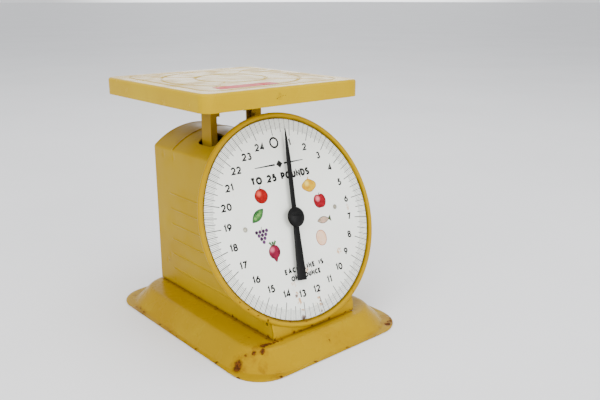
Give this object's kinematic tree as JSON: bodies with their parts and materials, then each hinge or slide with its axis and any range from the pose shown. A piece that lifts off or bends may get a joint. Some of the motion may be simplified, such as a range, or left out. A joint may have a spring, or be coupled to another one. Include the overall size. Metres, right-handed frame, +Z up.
{
  "type": "kitchen scale",
  "caption": "Spring kitchen scale: square weighing platform on two posts over an arched housing with a large leaning round dial, pointer and stepped base.",
  "frame": {"origin": "on the floor under the middle of the base", "axes": "+Z up, the dial faces -Y, +X to the right of a person reading the dial; the platform's normal is +Z"},
  "size_m": [0.1708, 0.212, 0.2014],
  "materials": {
    "yellow_enamel": "worn glossy enamel, chipped and rusted at edges",
    "dial_print": "semi-gloss white with printed marks",
    "black_paint": "satin black",
    "zinc": "dull zinc plate",
    "bare_steel": "plain steel strip",
    "spring_steel": "drawn spring wire",
    "brass": "turned and blanked"
  },
  "bodies": {
    "root": {"base_pan": "yellow_enamel", "base_screw_1": "zinc", "base_screw_2": "zinc", "base_screw_3": "zinc", "base_screw_4": "zinc", "housing_wrap": "yellow_enamel", "rear_cover": "yellow_enamel", "front_shell": "yellow_enamel", "dial_plate": "dial_print", "dial_rivet_left": "zinc", "dial_rivet_right": "zinc", "dial_bush": "brass", "arbor_bracket": "bare_steel", "arbor_rear_bush": "brass", "frame_floor": "bare_steel", "frame_upright_left": "bare_steel", "frame_upright_right": "bare_steel", "frame_bridge": "bare_steel", "main_spring_left": "spring_steel", "main_spring_right": "spring_steel", "lever_bracket": "bare_steel", "lever_pin_upper": "zinc", "lever_pin_lower": "zinc"},
    "platform": {"platform_pan": "yellow_enamel", "platform_spider": "bare_steel", "post_left": "yellow_enamel", "post_right": "yellow_enamel", "link_pin_upper": "zinc", "link_pin_lower": "zinc", "lower_crossbar": "bare_steel", "rack_arm": "bare_steel", "rack": "brass"},
    "pointer": {"pointer": "black_paint", "pointer_hub": "black_paint", "pointer_collet": "brass", "arbor": "bare_steel", "pinion": "brass"},
    "upper_lever": {"check_lever_upper": "bare_steel"},
    "lower_lever": {"check_lever_lower": "bare_steel"},
    "adjuster": {"adjust_knob": "zinc", "adjust_screw": "zinc"},
    "spring_bar": {"spring_bar": "bare_steel"}
  },
  "joints": [
    {"name": "platform_slide", "type": "slide", "parent": "root", "child": "platform", "axis": [0, 0, -1], "range_m": [0, 0.01837], "stiffness_N_per_m": 5900, "springref_m": -0.0012, "deforming": ["main_spring_left", "main_spring_right"]},
    {"name": "pointer_turn", "type": "hinge", "parent": "root", "child": "pointer", "pos_m": [0, -0.052, 0.098], "axis": [0, 0.9336, -0.3584], "range_deg": [0, 351.1]},
    {"name": "upper_lever_hinge", "type": "hinge", "parent": "root", "child": "upper_lever", "pos_m": [0, 0.074, 0.11102], "axis": [1, 0, 0], "range_deg": [0, 23.8]},
    {"name": "lower_lever_hinge", "type": "hinge", "parent": "root", "child": "lower_lever", "pos_m": [0, 0.074, 0.05101], "axis": [1, 0, 0], "range_deg": [0, 23.8]},
    {"name": "adjuster_turn", "type": "hinge", "parent": "root", "child": "adjuster", "pos_m": [0, 0.004, 0.163], "axis": [0, 0, 1], "range_deg": [-720, 720]},
    {"name": "spring_bar_slide", "type": "slide", "parent": "root", "child": "spring_bar", "axis": [0, 0, 1], "range_m": [-0.00145, 0.00145]}
  ],
  "couplings": [
    {"joint": "pointer_turn", "follows": "platform_slide", "rad_per_m": 333.42},
    {"joint": "upper_lever_hinge", "follows": "platform_slide", "rad_per_m": 22.405},
    {"joint": "lower_lever_hinge", "follows": "platform_slide", "rad_per_m": 22.405},
    {"joint": "spring_bar_slide", "follows": "adjuster_turn", "m_per_rad": 0.00011141}
  ]
}
